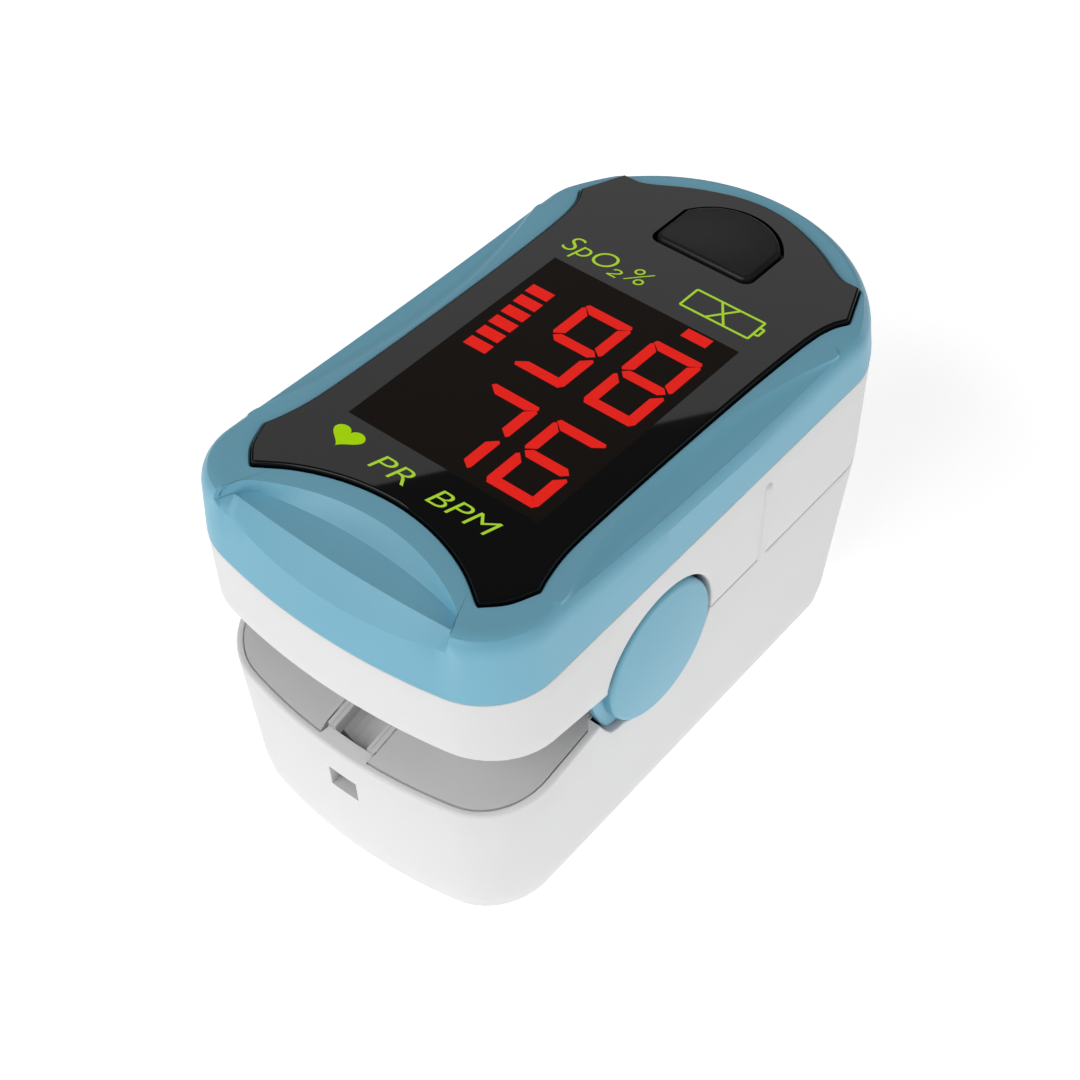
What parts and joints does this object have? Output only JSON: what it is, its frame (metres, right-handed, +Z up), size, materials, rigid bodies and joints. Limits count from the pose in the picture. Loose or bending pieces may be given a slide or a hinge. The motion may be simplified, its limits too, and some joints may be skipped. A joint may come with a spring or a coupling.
{
  "type": "fingertip pulse oximeter",
  "caption": "Sprung two-shell clip that closes on a fingertip, with a sloping black display panel, a push button, a thumb scoop and a sliding battery door.",
  "frame": {"origin": "bottom centre of the body's bounding box, on the surface it rests on", "axes": "+X to the right side, +Y towards the finger opening, +Z up; -Y is the end that is squeezed"},
  "size_m": [0.0326, 0.058, 0.0347],
  "materials": {
    "blue_shell": "satin moulded",
    "white_shell": "satin moulded",
    "grey_tray": "matte moulded",
    "black_panel": "high gloss",
    "button": "soft satin",
    "finger_pad": "soft matte silicone",
    "circuit_board": "solder mask",
    "chip": "matte epoxy",
    "display_module": "matte",
    "flex_strip": "smooth film",
    "clear_resin": "clear cast",
    "steel": "bright zinc",
    "cell_sleeve": "printed foil sleeve"
  },
  "bodies": {
    "lower_half": {"lower_shell": "white_shell", "finger_tray": "grey_tray", "lower_finger_pad": "finger_pad", "photo_sensor": "chip", "sensor_board": "circuit_board", "flex_cable": "flex_strip", "cell_left": "cell_sleeve", "cell_right": "cell_sleeve", "bridge_contact": "steel", "spring_contact": "steel", "dome_contact": "steel", "hinge_cap_left": "blue_shell", "hinge_cap_right": "blue_shell", "hinge_pin_left": "steel", "hinge_pin_right": "steel", "jaw_spring_left": "steel", "jaw_spring_right": "steel", "tray_screw_1": "steel", "tray_screw_2": "steel", "tray_screw_3": "steel", "tray_screw_4": "steel"},
    "upper_half": {"upper_shell": "white_shell", "top_cover": "blue_shell", "display_panel": "black_panel", "tactile_switch": "chip", "main_board": "circuit_board", "led_display": "display_module", "microcontroller": "chip", "light_emitter": "clear_resin", "upper_finger_pad": "finger_pad", "cover_screw_1": "steel", "cover_screw_2": "steel", "cover_screw_3": "steel", "cover_screw_4": "steel"},
    "button": {"power_button": "button"},
    "door": {"battery_door": "white_shell"}
  },
  "joints": [
    {"name": "jaw_hinge", "type": "hinge", "parent": "lower_half", "child": "upper_half", "pos_m": [0, -0.00875, 0.0193], "axis": [1, 0, 0], "range_deg": [0, 20], "stiffness_Nm_per_rad": 0.2, "springref_deg": -28.65, "deforming": ["jaw_spring_left", "jaw_spring_right", "flex_cable"]},
    {"name": "button_press", "type": "slide", "parent": "upper_half", "child": "button", "axis": [0, 0, -1], "range_m": [0, 0.0006], "stiffness_N_per_m": 800, "springref_m": -0.0006},
    {"name": "door_slide", "type": "slide", "parent": "lower_half", "child": "door", "axis": [0, 1, 0], "range_m": [0, 0.052]}
  ]
}
